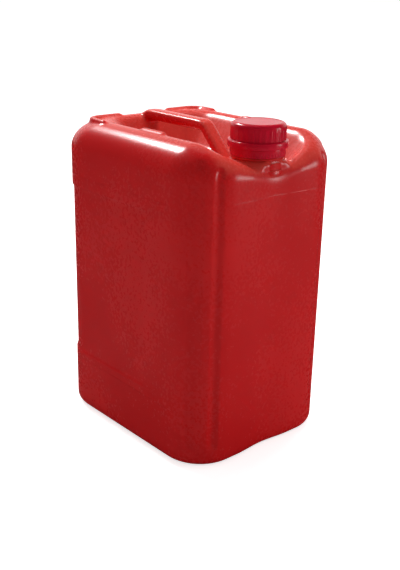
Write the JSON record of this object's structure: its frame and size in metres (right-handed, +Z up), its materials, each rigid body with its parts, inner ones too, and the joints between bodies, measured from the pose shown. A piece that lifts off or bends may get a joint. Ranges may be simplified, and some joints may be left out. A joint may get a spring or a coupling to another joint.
{
  "type": "plastic jerrycan",
  "caption": "Stackable blow-moulded plastic jerrycan with a hollow carrying handle, fluted front corners, a corner spout and a screw cap with a tear-off band.",
  "frame": {"origin": "centre of the base, on the surface the can stands on", "axes": "+Z up, -Y to the front with the neck, +X to the right across the narrow front"},
  "size_m": [0.235, 0.285, 0.4082],
  "materials": {
    "can_plastic": "satin",
    "cap_plastic": "gloss",
    "seal_foam": "matte"
  },
  "bodies": {
    "can": {"can_body": "can_plastic", "tamper_band": "cap_plastic"},
    "seal": {"cap_seal": "seal_foam"},
    "cap": {"screw_cap": "cap_plastic"}
  },
  "joints": [
    {"name": "cap_lift", "type": "slide", "parent": "can", "child": "seal", "axis": [0, 0, 1], "range_m": [0, 0.0361]},
    {"name": "cap_turn", "type": "hinge", "parent": "seal", "child": "cap", "pos_m": [0, -0.107, 0.39], "axis": [0, 0, 1], "range_deg": [0, 2160]}
  ],
  "couplings": [
    {"joint": "cap_lift", "follows": "cap_turn", "m_per_rad": 0.00095493}
  ]
}
